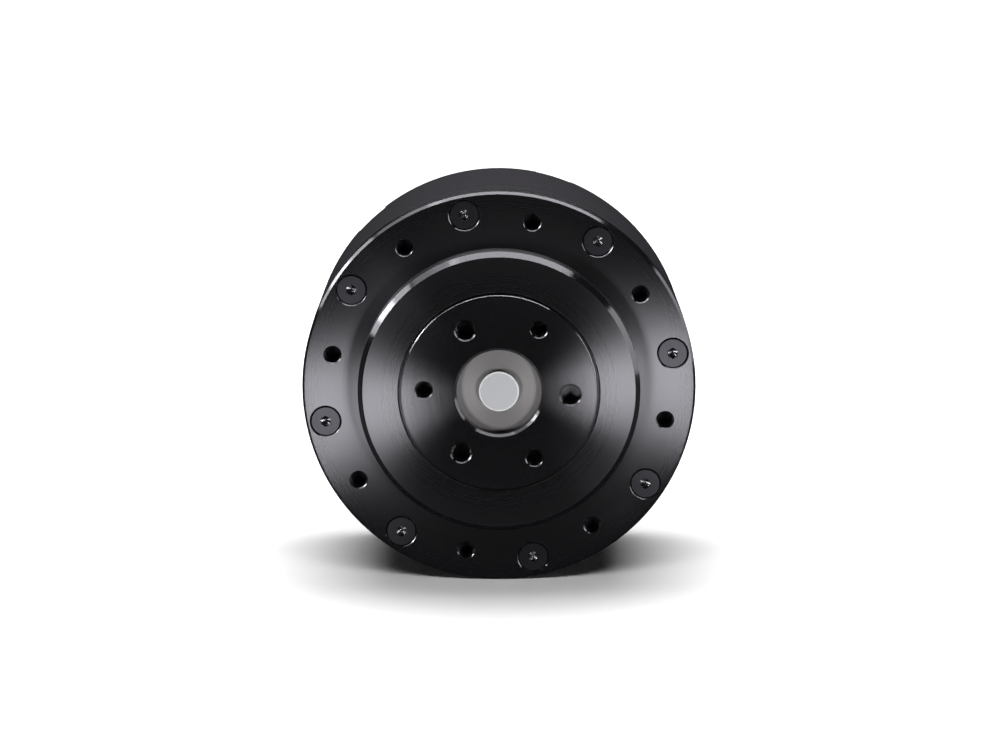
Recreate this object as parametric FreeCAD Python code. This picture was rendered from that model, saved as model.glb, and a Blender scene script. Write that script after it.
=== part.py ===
import FreeCAD, Part
import math
import os
from FreeCAD import Vector

# Robot joint actuator: a motor, a planetary reduction and an output bearing in one round housing.
# Lengths are in millimetres. Angles are in degrees, counter-clockwise from +X as seen from the
# output side. The axis is the Y axis, the output looks along -Y and +Z is up. The origin is the
# centre of the flange's mounting face, so the boss and the output disc lie at negative Y.

# Fits and gaps
fit = 0.03                    # radial gap of a located or pressed joint
running_fit = 0.05            # radial gap of a bush on its pin
running_gap = 0.3             # axial gap between parts that turn past each other
seat_gap = 0.03               # gap between a flat head's cone and its seat

# Gears that set the size of what lies round them
gear_module = 0.7
sun_teeth = 16
planet_teeth = 32
ring_teeth = sun_teeth + 2 * planet_teeth
ring_pitch_diameter = gear_module * ring_teeth
ring_gear_rim = 11.5          # wall outside the pitch circle, which the flange screws pass
pillar_circle = 33.0          # the carrier's pillars, between the planet gears

# Housing, from the output side to the rear
flange_diameter = ring_pitch_diameter + 2 * ring_gear_rim
flange_thickness = 4.7
flange_chamfer = 0.5
joint_chamfer = 0.2           # edge breaks that show as fine lines where two housing parts meet
ring_gear_width = 6.8         # the ring gear is clamped in the housing and shows on the outside
barrel_end_room = 0.2         # the barrel ends this far behind the driver board
barrel_taper = 0.7            # the barrel's diameter loses this much towards the rear
barrel_rear_diameter = flange_diameter - barrel_taper
boss_height = 6.0
boss_chamfer = 1.0
boss_lip = 1.4                # thickness of the lip in front of the output bearing
cover_step = 0.55             # the cover stands this far inside the barrel's rear edge
cover_diameter = barrel_rear_diameter - 2 * cover_step
cover_height = 4.5
cover_chamfer = 0.6
cover_wall = 1.9
cover_register = 1.0          # depth of the cover's locating rim in the barrel
cover_register_wall = 1.4

# Flange screws, flat head with a hexagon socket, and the threaded mounting holes between them
flange_screw_count = 8
flange_screw_edge = 4.0       # from a screw's middle to the flange's edge
flange_screw_circle = flange_diameter - 2 * flange_screw_edge
flange_screw_angle = 11.25
flange_thread_count = 8
flange_thread_edge = 5.5
flange_thread_circle = flange_diameter - 2 * flange_thread_edge
flange_thread_angle = 33.75
screw_diameter = 3.0
screw_clearance_hole = 3.4
screw_head_diameter = 5.6
screw_head_drop = 0.12        # the head's top lies this far inside the flange's face
screw_recess_diameter = 6.45
recess_chamfer = 0.15
screw_key = 2.0
screw_key_depth = 1.2
screw_grip = 9.0              # how far the flange screws reach into the barrel
thread_end_room = 1.5         # thread left free beyond a screw's tip
thread_bore = 3.3             # core of an M4 thread
thread_mouth = 3.7

# Output disc
disc_edge = 3.5               # from a carrier pillar's middle to the disc's edge
disc_diameter = pillar_circle + 2 * disc_edge
disc_chamfer = 0.5
disc_gap = 0.25               # hairline gap to the boss
dowel_count = 3
dowel_circle = 28.5
dowel_angle = -1.9
dowel_diameter = 4.0
dowel_depth = 4.8
dowel_chamfer = 0.25
output_thread_count = 3
output_thread_circle = 30.0
output_thread_angle = 58.1
output_thread_depth = 6.0
pilot_diameter = 17.0
pilot_chamfer = 0.5
pilot_depth = 4.4
hub_cap_thickness = 1.5

# Output bearing with crossed rollers, and the boss round it
disc_collar = 1.0             # the disc's rim stands this far past the bearing's bore
bearing_bore = disc_diameter - 2 * disc_collar
bearing_section = 7.0         # radial height of the bearing
bearing_diameter = bearing_bore + 2 * bearing_section
boss_wall = 2.2
boss_diameter = bearing_diameter + 2 * boss_wall
bearing_width = 7.0
roller_count = 24
roller_diameter = 3.0
roller_length = 2.9
raceway_room = 0.07           # gap between a roller and each raceway face
ring_split_gap = 1.1          # radial gap between the two bearing rings
cage_wall = 0.7
cage_rim = 0.9
cage_edge_gap = 0.3
cage_bar_gap = 0.2
clamp_ring_diameter = bearing_diameter + 8.0
clamp_ring_bore = bearing_diameter - 4.0
seal_diameter = disc_diameter + 4.0
seal_thickness = 0.5
seal_groove = 0.7
seal_gap = 0.1

# Planetary gears
pressure_angle = 20.0
planet_count = 3
first_planet_angle = 90.0
addendum = 1.0                # in modules
dedendum = 1.25               # in modules
flank_ease = 0.03             # how far each flank stands back from the zero-backlash form
pillar_diameter = 8.0
carrier_edge = 0.9            # the carrier's rim outside its pillars
carrier_diameter = pillar_circle + pillar_diameter + 2 * carrier_edge
carrier_rear_thickness = 2.5
carrier_screw_length = 16.0
planet_pin_diameter = 5.0
planet_bush_wall = 1.0
sun_neck_diameter = 8.8
sun_shank_diameter = 8.0

# Motor
recess_room = 2.5              # room outside the gears' pitch circle, in front of the web
barrel_recess_diameter = ring_pitch_diameter + 2 * recess_room
web_gap = 0.8                  # between the carrier and the web
web_thickness = 2.2
barrel_wall = 6.5
stator_diameter = flange_diameter - 2 * barrel_wall
stator_depth = 12.0            # from the stator's outside to its bore
stator_bore = stator_diameter - 2 * stator_depth
stator_length = 12.0
slot_count = 18
stator_yoke = 3.5              # the closed ring outside the slots
slot_bottom_diameter = stator_diameter - 2 * stator_yoke
tooth_width = 3.4
tooth_shoe = 1.0
slot_opening = 1.0
coil_wall = 2.0
coil_end = 2.2
coil_gap = 0.2
coil_start_radius = stator_bore / 2 + 2.4
coil_end_radius = slot_bottom_diameter / 2 - 0.3
coil_bevel = 1.2
coil_room = 0.8                # between the coils and the web
coil_rear_room = 0.6           # between the coils and the end plate
magnet_count = 20
magnet_thickness = 2.0
magnet_share = 0.82            # of the pole pitch that a magnet fills
air_gap = 0.6
back_iron_thickness = 2.4
rotor_overhang = 0.5           # the rotor stands past the stator at each end
hub_boss_diameter = 19.0
hub_web_thickness = 3.0
hub_rim = 1.5
shaft_diameter = 14.0
shaft_bore = 5.2

# Motor bearings and end plate
motor_bearing_bore = 12.0
motor_bearing_section = 4.5    # radial height of a motor bearing
motor_bearing_diameter = motor_bearing_bore + 2 * motor_bearing_section
motor_bearing_width = 5.0
motor_bearing_inner_wall = 1.6
motor_bearing_outer_wall = 1.4
motor_bearing_shield = 0.3
motor_bearing_shield_gap = 0.15
bearing_lip = 0.4
bearing_lip_bore = 18.4
bearing_boss_wall = 2.0
end_plate_step = 1.0           # the end plate's seat outside the stator's bore in the barrel
end_plate_diameter = stator_diameter + 2 * end_plate_step
end_plate_thickness = 2.2
circlip_thickness = 1.0
circlip_depth = 0.7
circlip_width = 2.6
circlip_opening = 9.0          # degrees

# Encoder rod and magnets
rod_head_diameter = 8.0
rod_head_chamfer = 0.3
rod_head_drop = 1.1            # the rod's head stands this far behind the output face
rod_diameter = 4.0
rotor_magnet_thickness = 1.6
rotor_magnet_bore = 6.4
rod_magnet_diameter = 5.0
rod_magnet_thickness = 1.5
sensor_gap = 0.7

# Driver board and connectors
board_room = 2.5               # gap between the board's edge and the barrel
board_diameter = stator_diameter - 2 * board_room
board_thickness = 1.6
board_standoff = 3.8
standoff_diameter = 4.6
standoff_circle = board_diameter - 7.0
standoff_count = 4
board_screw_diameter = 2.0
board_screw_head = 3.8
board_screw_head_height = 1.3
board_screw_grip = 1.8
sensor_size = 3.0
sensor_height = 0.9
switch_count = 6
switch_width = 5.0
switch_length = 6.0
switch_height = 1.0
switch_radius = 12.0
switch_angle = 45.0
switch_spread = 18.0
capacitor_count = 4
capacitor_diameter = 4.0
capacitor_height = 2.4
capacitor_radius = 19.0
processor_size = 8.0
processor_height = 1.0
phase_lead_diameter = 1.6
phase_lead_circle = board_diameter - 9.0
phase_lead_count = 3
phase_lead_hole = 2.6
connector_stand = 0.8          # how far the connectors stand out of the cover
window_gap = 0.3
power_width = 12.4
power_height = 5.6
power_corner = 1.2
power_offset = -21.0
power_pin_pitch = 5.0
power_pin_diameter = 2.0
power_pin_well = 3.6
socket_depth = 3.6
signal_width = 8.0
signal_height = 4.6
signal_wall = 0.8
signal_offset = 21.0
signal_pitch = 12.0
signal_pins = 4
signal_pin_pitch = 1.25
signal_pin_size = 0.5
pin_depth = 0.6                # the pins' tips lie this far inside the socket's mouth

# Rear cover screws and the prying reliefs beside them
cover_screw_count = 6
cover_screw_angle = 13.0
cover_screw_edge = 3.25
cover_screw_circle = barrel_rear_diameter - 2 * cover_screw_edge
cover_screw_diameter = 2.0
cover_screw_head_diameter = 3.5
cover_screw_recess_diameter = 4.1
cover_screw_hole = 2.3
cover_screw_key = 1.3
cover_screw_key_depth = 0.7
cover_screw_grip = 3.0
relief_depth = 0.3
relief_length = 3.0
relief_span = 11.0             # degrees
barrel_rear_chamfer = 0.2

# Stations along the axis that follow from the sizes above
output_face = -boss_height
bearing_front = output_face + boss_lip
bearing_middle = bearing_front + bearing_width / 2
bearing_back = bearing_front + bearing_width
flange_back = flange_thickness
ring_back = flange_back + ring_gear_width
gears_front = flange_back + running_gap
gears_back = ring_back - running_gap
carrier_back = ring_back + carrier_rear_thickness
web_front = carrier_back + web_gap
web_back = web_front + web_thickness
front_bearing_front = web_front + bearing_lip
front_bearing_back = front_bearing_front + motor_bearing_width
coils_front = web_back + coil_room
stator_front = coils_front + coil_end + coil_gap
stator_back = stator_front + stator_length
coils_back = stator_back + coil_gap + coil_end
end_plate_front = coils_back + coil_rear_room
end_plate_back = end_plate_front + end_plate_thickness
rear_bearing_back = end_plate_back
rear_bearing_front = rear_bearing_back - motor_bearing_width
shaft_front = web_front + running_gap / 2
shaft_back = end_plate_back + bearing_lip
rotor_front = stator_front - rotor_overhang
rotor_back = stator_back + rotor_overhang
board_front = end_plate_back + board_standoff
board_back = board_front + board_thickness
rod_back = board_front - sensor_height - sensor_gap - rod_magnet_thickness
barrel_back = board_back + barrel_end_room
cover_back = barrel_back + cover_height
connector_back = cover_back + connector_stand
pilot_floor = output_face + pilot_depth
hub_cap_front = pilot_floor - hub_cap_thickness
disc_seat_radius = bearing_bore / 2 - fit

# Gear geometry that follows from the module and the tooth counts
sun_pitch_radius = gear_module * sun_teeth / 2
planet_pitch_radius = gear_module * planet_teeth / 2
ring_pitch_radius = gear_module * ring_teeth / 2
planet_circle_radius = sun_pitch_radius + planet_pitch_radius


def turned(outline, span=360):
    """Turn a closed outline of (radius, y) corners about the Y axis, from +X through a span."""
    corners = [Vector(radius, y, 0) for radius, y in outline]
    wire = Part.makePolygon(corners + corners[:1])
    return Part.Face(wire).revolve(Vector(0, 0, 0), Vector(0, -1, 0), span)


def disc(radius, start, end):
    """A cylinder on the Y axis."""
    return Part.makeCylinder(radius, end - start, Vector(0, start, 0), Vector(0, 1, 0))


def ring(outer, inner, start, end):
    """A plain ring on the Y axis."""
    return turned([(inner, start), (outer, start), (outer, end), (inner, end)])


def block(width, height, start, end, x=0.0, z=0.0):
    """A box centred on (x, z) between two stations."""
    return Part.makeBox(width, end - start, height, Vector(x - width / 2, start, z - height / 2))


def turn(shape, angle):
    """A copy turned about the axis, counter-clockwise as seen from the output side."""
    copy = shape.copy()
    copy.rotate(Vector(0, 0, 0), Vector(0, -1, 0), angle)
    return copy


def shifted(shape, x=0.0, y=0.0, z=0.0):
    """A moved copy."""
    copy = shape.copy()
    copy.translate(Vector(x, y, z))
    return copy


def spread(count, first=0.0):
    """Evenly spread angles."""
    return [first + 360.0 * number / count for number in range(count)]


def around(shape, circle, angles):
    """Copies of a shape from the axis, set upright on a circle at each angle."""
    copies = []
    for angle in angles:
        direction = math.radians(angle)
        copies.append(shifted(shape, circle / 2 * math.cos(direction), 0, circle / 2 * math.sin(direction)))
    return copies


def facing_back(shape, station):
    """Turn a shape whose top lies at y = 0 round, so that its top faces the rear at a station."""
    copy = shape.copy()
    copy.rotate(Vector(0, 0, 0), Vector(1, 0, 0), 180)
    return shifted(copy, y=station)


def screw_hole(bore, start, depth, mouth=None, flat=False):
    """The space of a drilled hole with a chamfered mouth, and a drill point unless it is flat."""
    radius = bore / 2
    outline = [(0, start)]
    if mouth:
        outline.append((mouth / 2, start))
        outline.append((radius, start + mouth / 2 - radius))
    else:
        outline.append((radius, start))
    outline.append((radius, start + depth))
    outline.append((0, start + depth + (0 if flat else radius / 2)))
    return turned(outline)


def flat_screw_space(recess, bore, length):
    """The space of a flat head screw: a short straight well with a broken edge over a cone."""
    wall = recess / 2 - recess_chamfer
    seat = 2 * recess_chamfer
    return turned([
        (0, 0),
        (recess / 2, 0),
        (wall, recess_chamfer),
        (wall, seat),
        (bore / 2, seat + wall - bore / 2),
        (bore / 2, length),
        (0, length),
    ])


def flat_screw(diameter, head, recess, key, key_depth, length):
    """A flat head screw seated in its countersink, with a hexagon socket that has one corner up."""
    top = screw_head_drop
    head_radius = head / 2
    cone = recess / 2 + recess_chamfer - seat_gap - head_radius
    tip_chamfer = diameter * 0.12
    body = turned([
        (0, top),
        (head_radius, top),
        (head_radius, cone),
        (diameter / 2, cone + head_radius - diameter / 2),
        (diameter / 2, length - tip_chamfer),
        (diameter / 2 - tip_chamfer, length),
        (0, length),
    ])
    corner = key / math.sqrt(3)
    corners = []
    for angle in spread(6, 90):
        direction = math.radians(angle)
        corners.append(Vector(corner * math.cos(direction), top, corner * math.sin(direction)))
    hexagon = Part.Face(Part.makePolygon(corners + corners[:1]))
    socket = hexagon.extrude(Vector(0, key_depth, 0))
    point = Part.makeCone(key / 2, 0, key / 4, Vector(0, top + key_depth, 0), Vector(0, 1, 0))
    return body.cut(socket.fuse(point))


def involute(angle):
    """The involute function, in radians."""
    return math.tan(angle) - angle


def gear_prism(teeth, outer, inner, ease, start, end, tooth_angle):
    """Extrude a gear's outline with involute flanks and one tooth at the given angle.

    ease is how far each flank stands back at the pitch circle. A negative ease makes the teeth
    wider, which gives the spaces of an internal gear.
    """
    working = math.radians(pressure_angle)
    pitch_radius = gear_module * teeth / 2
    base_radius = pitch_radius * math.cos(working)
    flank_start = max(inner, base_radius)
    flank_middle = (flank_start + outer) / 2
    tooth_step = 2 * math.pi / teeth

    def half_tooth(radius):
        turned_in = involute(working) - involute(math.acos(base_radius / radius))
        return math.pi / (2 * teeth) - ease / pitch_radius + turned_in

    def point(radius, angle):
        return Vector(radius * math.cos(angle), start, radius * math.sin(angle))

    edges = []
    for number in range(teeth):
        middle = math.radians(tooth_angle) + number * tooth_step
        foot = half_tooth(flank_start)
        waist = half_tooth(flank_middle)
        crest = half_tooth(outer)
        first_foot = point(flank_start, middle - foot)
        last_foot = point(flank_start, middle + foot)
        first_crest = point(outer, middle - crest)
        last_crest = point(outer, middle + crest)
        next_foot = middle + tooth_step - foot
        if flank_start > inner:
            edges.append(Part.makeLine(point(inner, middle - foot), first_foot))
        edges.append(Part.Arc(first_foot, point(flank_middle, middle - waist), first_crest).toShape())
        edges.append(Part.Arc(first_crest, point(outer, middle), last_crest).toShape())
        edges.append(Part.Arc(last_crest, point(flank_middle, middle + waist), last_foot).toShape())
        if flank_start > inner:
            edges.append(Part.makeLine(last_foot, point(inner, middle + foot)))
        root_middle = point(inner, middle + tooth_step / 2)
        edges.append(Part.Arc(point(inner, middle + foot), root_middle, point(inner, next_foot)).toShape())
    face = Part.Face(Part.Wire(edges))
    return face.extrude(Vector(0, end - start, 0))


def planet_angles():
    """Where the planets stand: the angles nearest to an even spread at which they mesh."""
    steps = sun_teeth + ring_teeth
    places = [round(number * steps / planet_count) for number in range(planet_count)]
    return [first_planet_angle + place * 360.0 / steps for place in places]


def between_planets():
    """Angles half-way between neighbouring planets."""
    angles = planet_angles()
    following = angles[1:] + [angles[0] + 360]
    return [(angle + after) / 2 for angle, after in zip(angles, following)]


def front_flange():
    """Mounting flange with the boss that holds the output bearing."""
    flange_radius = flange_diameter / 2
    boss_radius = boss_diameter / 2
    lip_radius = disc_diameter / 2 + disc_gap
    bearing_seat = bearing_diameter / 2 + fit
    clamp_seat = clamp_ring_diameter / 2 + fit
    seal_seat = seal_diameter / 2 + fit
    body = turned([
        (lip_radius, output_face),
        (boss_radius - boss_chamfer, output_face),
        (boss_radius, output_face + boss_chamfer),
        (boss_radius, 0),
        (flange_radius - flange_chamfer, 0),
        (flange_radius, flange_chamfer),
        (flange_radius, flange_back - joint_chamfer),
        (flange_radius - joint_chamfer, flange_back),
        (clamp_seat, flange_back),
        (clamp_seat, bearing_back),
        (bearing_seat, bearing_back),
        (bearing_seat, bearing_front),
        (seal_seat, bearing_front),
        (seal_seat, bearing_front - seal_groove),
        (lip_radius, bearing_front - seal_groove),
    ])
    screw_space = flat_screw_space(screw_recess_diameter, screw_clearance_hole, flange_thickness)
    thread = turned([
        (0, 0),
        (thread_mouth / 2, 0),
        (thread_bore / 2, (thread_mouth - thread_bore) / 2),
        (thread_bore / 2, flange_thickness),
        (0, flange_thickness),
    ])
    screws = around(screw_space, flange_screw_circle, spread(flange_screw_count, flange_screw_angle))
    threads = around(thread, flange_thread_circle, spread(flange_thread_count, flange_thread_angle))
    return body.cut(screws + threads)


def flange_screws():
    """The flat head screws that clamp flange, ring gear and barrel together."""
    length = ring_back + screw_grip
    screw = flat_screw(
        screw_diameter, screw_head_diameter, screw_recess_diameter, screw_key, screw_key_depth, length)
    return around(screw, flange_screw_circle, spread(flange_screw_count, flange_screw_angle))


def ring_gear():
    """Internal gear clamped between flange and barrel. A tooth space faces the first planet."""
    radius = flange_diameter / 2
    tip = ring_pitch_radius - addendum * gear_module
    root = ring_pitch_radius + dedendum * gear_module
    body = turned([
        (tip - 1, flange_back),
        (radius - joint_chamfer, flange_back),
        (radius, flange_back + joint_chamfer),
        (radius, ring_back - joint_chamfer),
        (radius - joint_chamfer, ring_back),
        (tip - 1, ring_back),
    ])
    spaces = gear_prism(ring_teeth, root, tip, -flank_ease, flange_back, ring_back, first_planet_angle)
    hole = disc(screw_clearance_hole / 2, flange_back, ring_back)
    holes = around(hole, flange_screw_circle, spread(flange_screw_count, flange_screw_angle))
    return body.cut([spaces] + holes)


def output_seal():
    """Rubber ring in the boss behind the hairline gap."""
    back = bearing_front - (seal_groove - seal_thickness)
    return ring(seal_diameter / 2, disc_diameter / 2 + seal_gap, back - seal_thickness, back)


def raceway_corner(side):
    """Radius at the bottom of a V-shaped raceway, on the inner (-1) or the outer (1) ring."""
    pitch_radius = (bearing_bore + bearing_diameter) / 4
    return pitch_radius + side * (roller_diameter / 2 + raceway_room) * math.sqrt(2)


def bearing_inner_ring():
    """Inner ring of the output bearing, with a V-shaped raceway for the crossed rollers."""
    radius = (bearing_bore + bearing_diameter) / 4 - ring_split_gap / 2
    corner = raceway_corner(-1)
    half_mouth = radius - corner
    return turned([
        (bearing_bore / 2, bearing_front),
        (radius, bearing_front),
        (radius, bearing_middle - half_mouth),
        (corner, bearing_middle),
        (radius, bearing_middle + half_mouth),
        (radius, bearing_back),
        (bearing_bore / 2, bearing_back),
    ])


def bearing_outer_ring():
    """Outer ring of the output bearing, held in the boss."""
    radius = (bearing_bore + bearing_diameter) / 4 + ring_split_gap / 2
    corner = raceway_corner(1)
    half_mouth = corner - radius
    return turned([
        (bearing_diameter / 2, bearing_front),
        (radius, bearing_front),
        (radius, bearing_middle - half_mouth),
        (corner, bearing_middle),
        (radius, bearing_middle + half_mouth),
        (radius, bearing_back),
        (bearing_diameter / 2, bearing_back),
    ])


def bearing_rollers():
    """Rollers whose axes lean alternately to the front and to the rear."""
    pitch_radius = (bearing_bore + bearing_diameter) / 4
    half = roller_length / 2 / math.sqrt(2)
    rollers = []
    for number, angle in enumerate(spread(roller_count)):
        lean = 1 if number % 2 else -1
        start = Vector(pitch_radius - half, bearing_middle - lean * half, 0)
        axis = Vector(1, lean, 0)
        rollers.append(turn(Part.makeCylinder(roller_diameter / 2, roller_length, start, axis), angle))
    return rollers


def bearing_cage():
    """Comb cage: a rim in front of the rollers with one bar between each two of them."""
    pitch_radius = (bearing_bore + bearing_diameter) / 4
    inner = pitch_radius - cage_wall / 2
    outer = pitch_radius + cage_wall / 2
    rim_front = bearing_front + cage_edge_gap
    rim_back = rim_front + cage_rim
    bar_back = bearing_middle + roller_diameter / 2
    step = 2 * pitch_radius * math.sin(math.pi / roller_count)
    bar_width = step - roller_diameter - 2 * cage_bar_gap
    rim = ring(outer, inner, rim_front, rim_back)
    bar = Part.makeBox(cage_wall, bar_back - rim_back, bar_width, Vector(inner, rim_back, -bar_width / 2))
    bars = [turn(bar, angle) for angle in spread(roller_count, 180.0 / roller_count)]
    round_limit = ring(outer, inner, rim_front, bar_back)
    return rim.fuse([bar.common(round_limit) for bar in bars])


def bearing_clamp_ring():
    """Ring that presses the outer bearing ring into the boss, held by the ring gear."""
    return ring(clamp_ring_diameter / 2, clamp_ring_bore / 2, bearing_back, flange_back)


def output_disc():
    """Driven disc at the front, seated in the inner bearing ring."""
    radius = disc_diameter / 2
    pilot = pilot_diameter / 2
    body = turned([
        (rod_diameter / 2 + fit, pilot_floor),
        (pilot, pilot_floor),
        (pilot, output_face + pilot_chamfer),
        (pilot + pilot_chamfer, output_face),
        (radius - disc_chamfer, output_face),
        (radius, output_face + disc_chamfer),
        (radius, bearing_front),
        (disc_seat_radius, bearing_front),
        (disc_seat_radius, bearing_back),
        (rod_diameter / 2 + fit, bearing_back),
    ])
    mouth = dowel_diameter / 2 + dowel_chamfer
    dowel_hole = turned([
        (0, output_face),
        (mouth, output_face),
        (dowel_diameter / 2, output_face + dowel_chamfer),
        (dowel_diameter / 2, output_face + dowel_depth),
        (0, output_face + dowel_depth),
    ])
    thread = screw_hole(thread_bore, output_face, output_thread_depth, thread_mouth, flat=True)
    rear_thread = facing_back(screw_hole(screw_diameter + 2 * fit, 0, carrier_thread_depth()), bearing_back)
    tools = around(dowel_hole, dowel_circle, spread(dowel_count, dowel_angle))
    tools += around(thread, output_thread_circle, spread(output_thread_count, output_thread_angle))
    tools += around(rear_thread, pillar_circle, between_planets())
    return body.cut(tools)


def carrier_thread_depth():
    """How deep the carrier screws' threads go into the output disc."""
    reach = carrier_screw_length - (carrier_back - bearing_back)
    return reach + thread_end_room / 2


def planet_carrier():
    """Front half of the planet carrier with the pillars that reach the rear plate."""
    radius = carrier_diameter / 2
    body = ring(radius, rod_diameter, bearing_back, flange_back)
    pillar = disc(pillar_diameter / 2, flange_back, ring_back)
    pin_hole = disc(planet_pin_diameter / 2 + fit, bearing_back, flange_back)
    screw_way = disc(screw_clearance_hole / 2, bearing_back, ring_back)
    body = body.fuse(around(pillar, pillar_circle, between_planets()))
    tools = around(pin_hole, 2 * planet_circle_radius, planet_angles())
    tools += around(screw_way, pillar_circle, between_planets())
    return body.cut(tools)


def carrier_rear_plate():
    """Rear half of the planet carrier. The sun gear passes through its bore."""
    bore = sun_pitch_radius + addendum * gear_module + running_gap
    body = ring(carrier_diameter / 2, bore, ring_back, carrier_back)
    pin_hole = disc(planet_pin_diameter / 2 + fit, ring_back, carrier_back)
    space = facing_back(
        flat_screw_space(screw_recess_diameter, screw_clearance_hole, carrier_rear_thickness), carrier_back)
    tools = around(pin_hole, 2 * planet_circle_radius, planet_angles())
    tools += around(space, pillar_circle, between_planets())
    return body.cut(tools)


def carrier_screws():
    """Screws that join both carrier halves to the output disc."""
    screw = flat_screw(
        screw_diameter, screw_head_diameter, screw_recess_diameter, screw_key, screw_key_depth,
        carrier_screw_length)
    return around(facing_back(screw, carrier_back), pillar_circle, between_planets())


def planet_pins():
    """Pins that the planets turn on."""
    pin = disc(planet_pin_diameter / 2, bearing_back, carrier_back)
    return around(pin, 2 * planet_circle_radius, planet_angles())


def bush_radius():
    """Outer radius of a planet's bush."""
    return planet_pin_diameter / 2 + running_fit + planet_bush_wall


def planet_gears():
    """The planets, each in mesh with the ring gear and the sun."""
    tip = planet_pitch_radius + addendum * gear_module
    root = planet_pitch_radius - dedendum * gear_module
    bore = disc(bush_radius() + fit, gears_front, gears_back)
    gears = []
    for angle in planet_angles():
        roll = (angle - first_planet_angle) * (1 - ring_teeth / planet_teeth)
        gear = gear_prism(
            planet_teeth, tip, root, flank_ease, gears_front, gears_back, first_planet_angle + roll)
        gears += around(gear.cut(bore), 2 * planet_circle_radius, [angle])
    return gears


def planet_bushes():
    """Bronze bushes pressed into the planets."""
    bush = ring(bush_radius(), planet_pin_diameter / 2 + running_fit, gears_front, gears_back)
    return around(bush, 2 * planet_circle_radius, planet_angles())


def sun_gear():
    """Sun gear with a shank that is pressed into the motor shaft."""
    tip = sun_pitch_radius + addendum * gear_module
    root = sun_pitch_radius - dedendum * gear_module
    tooth_angle = first_planet_angle + 180.0 / sun_teeth * (1 + planet_teeth)
    teeth = gear_prism(sun_teeth, tip, root, flank_ease, gears_front, gears_back, tooth_angle)
    shank = turned([
        (0, gears_front),
        (sun_neck_diameter / 2, gears_front),
        (sun_neck_diameter / 2, shaft_front),
        (sun_shank_diameter / 2, shaft_front),
        (sun_shank_diameter / 2, front_bearing_back),
        (0, front_bearing_back),
    ])
    return teeth.fuse(shank).cut(disc(shaft_bore / 2, gears_front, front_bearing_back))


def motor_barrel():
    """Motor housing with the web that carries the front motor bearing."""
    seat = motor_bearing_diameter / 2 + fit
    boss = seat + bearing_boss_wall
    groove_back = end_plate_back + circlip_thickness + fit
    body = turned([
        (bearing_lip_bore / 2, web_front),
        (barrel_recess_diameter / 2, web_front),
        (barrel_recess_diameter / 2, ring_back),
        (flange_diameter / 2 - joint_chamfer, ring_back),
        (flange_diameter / 2, ring_back + joint_chamfer),
        (barrel_rear_diameter / 2, barrel_back - barrel_rear_chamfer),
        (barrel_rear_diameter / 2 - barrel_rear_chamfer, barrel_back),
        (end_plate_diameter / 2, barrel_back),
        (end_plate_diameter / 2, groove_back),
        (end_plate_diameter / 2 + circlip_depth, groove_back),
        (end_plate_diameter / 2 + circlip_depth, end_plate_back),
        (end_plate_diameter / 2, end_plate_back),
        (end_plate_diameter / 2, end_plate_front),
        (stator_diameter / 2, end_plate_front),
        (stator_diameter / 2, web_back),
        (boss, web_back),
        (boss, front_bearing_back),
        (seat, front_bearing_back),
        (seat, front_bearing_front),
        (bearing_lip_bore / 2, front_bearing_front),
    ])
    screw_thread = screw_hole(screw_diameter + 2 * fit, ring_back, screw_grip + thread_end_room)
    cover_thread_depth = cover_screw_grip + thread_end_room
    cover_thread = screw_hole(cover_screw_diameter + 2 * fit, 0, cover_thread_depth)
    cover_thread = facing_back(cover_thread, barrel_back)
    tools = around(screw_thread, flange_screw_circle, spread(flange_screw_count, flange_screw_angle))
    tools += around(cover_thread, cover_screw_circle, spread(cover_screw_count, cover_screw_angle))
    return body.cut(tools + pry_reliefs())


def pry_reliefs():
    """Shallow reliefs in the barrel's rear rim, one beside each cover screw."""
    floor = barrel_rear_diameter / 2 - relief_depth
    relief = turned([
        (floor, barrel_back - relief_length),
        (flange_diameter / 2, barrel_back - relief_length),
        (flange_diameter / 2, barrel_back),
        (floor, barrel_back),
    ], relief_span)
    return [turn(relief, angle - relief_span / 2) for angle in spread(cover_screw_count, cover_screw_angle)]


def stator_core():
    """Laminated stator core with T-shaped teeth."""
    bore = stator_bore / 2
    bottom = slot_bottom_diameter / 2
    step = 2 * math.pi / slot_count
    shoe_half = step / 2 - slot_opening / 2 / bore
    half_width = tooth_width / 2
    side = math.asin(half_width / bottom)

    def point(radius, angle):
        return Vector(radius * math.cos(angle), stator_front, radius * math.sin(angle))

    def on_tooth(along, across, middle):
        radius = math.hypot(along, across)
        return point(radius, middle + math.atan2(across, along))

    edges = []
    for number in range(slot_count):
        middle = number * step
        start = point(bore, middle - shoe_half)
        end = point(bore, middle + shoe_half)
        shoe_low = point(bore + tooth_shoe, middle - shoe_half)
        shoe_high = point(bore + tooth_shoe, middle + shoe_half)
        neck_low = on_tooth(bore + 2 * tooth_shoe, -half_width, middle)
        neck_high = on_tooth(bore + 2 * tooth_shoe, half_width, middle)
        foot_low = point(bottom, middle - side)
        foot_high = point(bottom, middle + side)
        next_foot = point(bottom, middle + step - side)
        edges.append(Part.makeLine(foot_low, neck_low))
        edges.append(Part.makeLine(neck_low, shoe_low))
        edges.append(Part.makeLine(shoe_low, start))
        edges.append(Part.Arc(start, point(bore, middle), end).toShape())
        edges.append(Part.makeLine(end, shoe_high))
        edges.append(Part.makeLine(shoe_high, neck_high))
        edges.append(Part.makeLine(neck_high, foot_high))
        edges.append(Part.Arc(foot_high, point(bottom, middle + step / 2), next_foot).toShape())
    space = Part.Face(Part.Wire(edges)).extrude(Vector(0, stator_length, 0))
    return disc(stator_diameter / 2 - fit, stator_front, stator_back).cut(space)


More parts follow.
